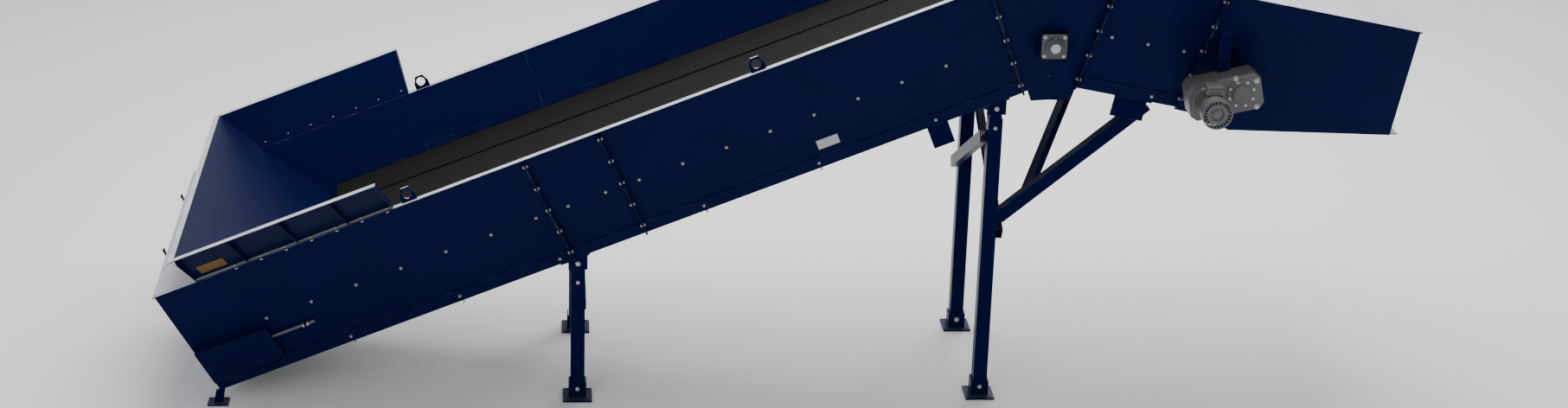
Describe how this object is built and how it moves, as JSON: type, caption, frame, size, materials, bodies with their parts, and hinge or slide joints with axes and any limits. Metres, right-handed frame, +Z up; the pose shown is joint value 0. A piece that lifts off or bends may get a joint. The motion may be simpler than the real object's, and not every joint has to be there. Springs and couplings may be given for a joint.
{
  "type": "belt conveyor section",
  "caption": "Inclined trough belt conveyor section with slider bed, loading hopper, knee, short declined head run in a discharge hood, shaft-mounted gearmotor and telescopic legs.",
  "frame": {"origin": "centre of the footprint of the whole section, on the floor", "axes": "+X along the conveyor from the tail to the discharge end, +Y to the far side away from the gearmotor, +Z up"},
  "size_m": [7.7102, 2.614, 3.0643],
  "materials": {
    "frame_paint": "semi-gloss navy paint over steel sheet",
    "pale_sheet": "pale grey dusty paint",
    "bare_sheet": "worn bright steel sheet",
    "zinc": "zinc plated",
    "shaft_steel": "turned steel",
    "pulley_steel": "rolled steel",
    "bearing_iron": "painted casting",
    "motor_paint": "satin dark grey enamel",
    "cowl_paint": "satin dark grey enamel",
    "black_rubber": "matt black rubber",
    "scraper_plastic": "polyurethane"
  },
  "bodies": {
    "frame": {"bearing_pads": "frame_paint", "belt": "black_rubber", "cross_members": "frame_paint", "door_hinge_pins": "zinc", "drive_walls": "frame_paint", "fan_cowl": "cowl_paint", "floor_feet": "frame_paint", "gear_case": "motor_paint", "head_legs": "frame_paint", "head_walls": "frame_paint", "hood_cover": "frame_paint", "hood_front": "frame_paint", "hopper_back_chute": "frame_paint", "hopper_panels": "frame_paint", "hopper_ribs": "frame_paint", "joint_bolts": "zinc", "knee_braces": "frame_paint", "knee_walls": "frame_paint", "leg_bolts": "zinc", "leg_braces": "frame_paint", "leg_extensions": "frame_paint", "leg_saddles": "frame_paint", "lifting_lugs": "frame_paint", "motor_housing": "motor_paint", "panel_bolts": "zinc", "roller_hangers": "shaft_steel", "shaft_bearings": "bearing_iron", "skirt_rubber": "black_rubber", "skirt_steelwork": "frame_paint", "slider_bed_head": "bare_sheet", "slider_bed_rising": "bare_sheet", "tail_deck": "pale_sheet", "tail_end_plate": "frame_paint", "tail_legs": "frame_paint", "tail_walls": "frame_paint", "take_up_frames": "frame_paint", "take_up_guards": "frame_paint", "take_up_nuts": "zinc", "torque_arm": "frame_paint", "upper_walls": "frame_paint"},
    "take_up": {"take_up_blocks": "bearing_iron"},
    "tail_roll": {"tail_pulley": "pulley_steel", "tail_shaft": "shaft_steel"},
    "knee_roll": {"knee_pulley": "pulley_steel", "knee_shaft": "shaft_steel"},
    "head_roll": {"head_pulley": "pulley_steel", "head_shaft": "shaft_steel"},
    "knee_idler": {"knee_return_roller": "zinc"},
    "rotor": {"motor_rotor": "shaft_steel"},
    "door": {"tail_door": "frame_paint"},
    "near_latch": {"latch_near": "black_rubber"},
    "far_latch": {"latch_far": "black_rubber"},
    "scraper": {"belt_scraper": "scraper_plastic"},
    "idler_1": {"return_roller_1": "zinc"},
    "idler_2": {"return_roller_2": "zinc"},
    "idler_3": {"return_roller_3": "zinc"},
    "idler_4": {"return_roller_4": "zinc"},
    "idler_5": {"return_roller_5": "zinc"},
    "idler_6": {"return_roller_6": "zinc"},
    "idler_7": {"return_roller_7": "zinc"}
  },
  "joints": [
    {"name": "take_up_slide", "type": "slide", "parent": "frame", "child": "take_up", "axis": [0.9285, 0, 0.3714], "range_m": [0, 0.1]},
    {"name": "head_spin", "type": "hinge", "parent": "frame", "child": "head_roll", "pos_m": [2.73847, 0, 2.22291], "axis": [0, 1, 0], "continuous": true},
    {"name": "tail_spin", "type": "hinge", "parent": "take_up", "child": "tail_roll", "pos_m": [-3.37611, 0, 0.45498], "axis": [0, 1, 0], "continuous": true},
    {"name": "knee_spin", "type": "hinge", "parent": "frame", "child": "knee_roll", "pos_m": [1.61191, 0, 2.45005], "axis": [0, 1, 0], "continuous": true},
    {"name": "knee_idler_spin", "type": "hinge", "parent": "frame", "child": "knee_idler", "pos_m": [1.63424, 0, 2.21385], "axis": [0, 1, 0], "continuous": true},
    {"name": "rotor_spin", "type": "hinge", "parent": "frame", "child": "rotor", "pos_m": [2.53611, -1.1, 2.178], "axis": [0, 1, 0], "continuous": true},
    {"name": "door_hinge", "type": "hinge", "parent": "frame", "child": "door", "pos_m": [-3.57157, 0, 0.2705], "axis": [0, -1, 0], "range_deg": [0, 80]},
    {"name": "near_latch_turn", "type": "hinge", "parent": "door", "child": "near_latch", "pos_m": [-3.80869, -0.3, 0.82295], "axis": [0, -1, 0], "range_deg": [0, 90]},
    {"name": "far_latch_turn", "type": "hinge", "parent": "door", "child": "far_latch", "pos_m": [-3.80869, 0.64, 0.82295], "axis": [0, -1, 0], "range_deg": [0, 90]},
    {"name": "scraper_tilt", "type": "hinge", "parent": "frame", "child": "scraper", "pos_m": [2.85847, 0, 1.92291], "axis": [0, 1, 0], "range_deg": [0, 18]},
    {"name": "idler_1_spin", "type": "hinge", "parent": "frame", "child": "idler_1", "pos_m": [-2.68584, 0, 0.5064], "axis": [0, 1, 0], "continuous": true},
    {"name": "idler_2_spin", "type": "hinge", "parent": "frame", "child": "idler_2", "pos_m": [-2.00804, 0, 0.7775], "axis": [0, 1, 0], "continuous": true},
    {"name": "idler_3_spin", "type": "hinge", "parent": "frame", "child": "idler_3", "pos_m": [-1.38689, 0, 1.02595], "axis": [0, 1, 0], "continuous": true},
    {"name": "idler_4_spin", "type": "hinge", "parent": "frame", "child": "idler_4", "pos_m": [-0.4974, 0, 1.38172], "axis": [0, 1, 0], "continuous": true},
    {"name": "idler_5_spin", "type": "hinge", "parent": "frame", "child": "idler_5", "pos_m": [0.20918, 0, 1.66433], "axis": [0, 1, 0], "continuous": true},
    {"name": "idler_6_spin", "type": "hinge", "parent": "frame", "child": "idler_6", "pos_m": [0.92226, 0, 1.94954], "axis": [0, 1, 0], "continuous": true},
    {"name": "idler_7_spin", "type": "hinge", "parent": "frame", "child": "idler_7", "pos_m": [2.25054, 0, 2.10396], "axis": [0, 1, 0], "continuous": true}
  ],
  "couplings": [
    {"joint": "tail_spin", "follows": "head_spin", "ratio": 1.0494},
    {"joint": "knee_spin", "follows": "head_spin", "ratio": 1.0494},
    {"joint": "knee_idler_spin", "follows": "head_spin", "ratio": -2.9825},
    {"joint": "rotor_spin", "follows": "head_spin", "ratio": 28},
    {"joint": "idler_1_spin", "follows": "head_spin", "ratio": -4.4737},
    {"joint": "idler_2_spin", "follows": "head_spin", "ratio": -4.4737},
    {"joint": "idler_3_spin", "follows": "head_spin", "ratio": -4.4737},
    {"joint": "idler_4_spin", "follows": "head_spin", "ratio": -4.4737},
    {"joint": "idler_5_spin", "follows": "head_spin", "ratio": -4.4737},
    {"joint": "idler_6_spin", "follows": "head_spin", "ratio": -4.4737},
    {"joint": "idler_7_spin", "follows": "head_spin", "ratio": -4.4737}
  ]
}
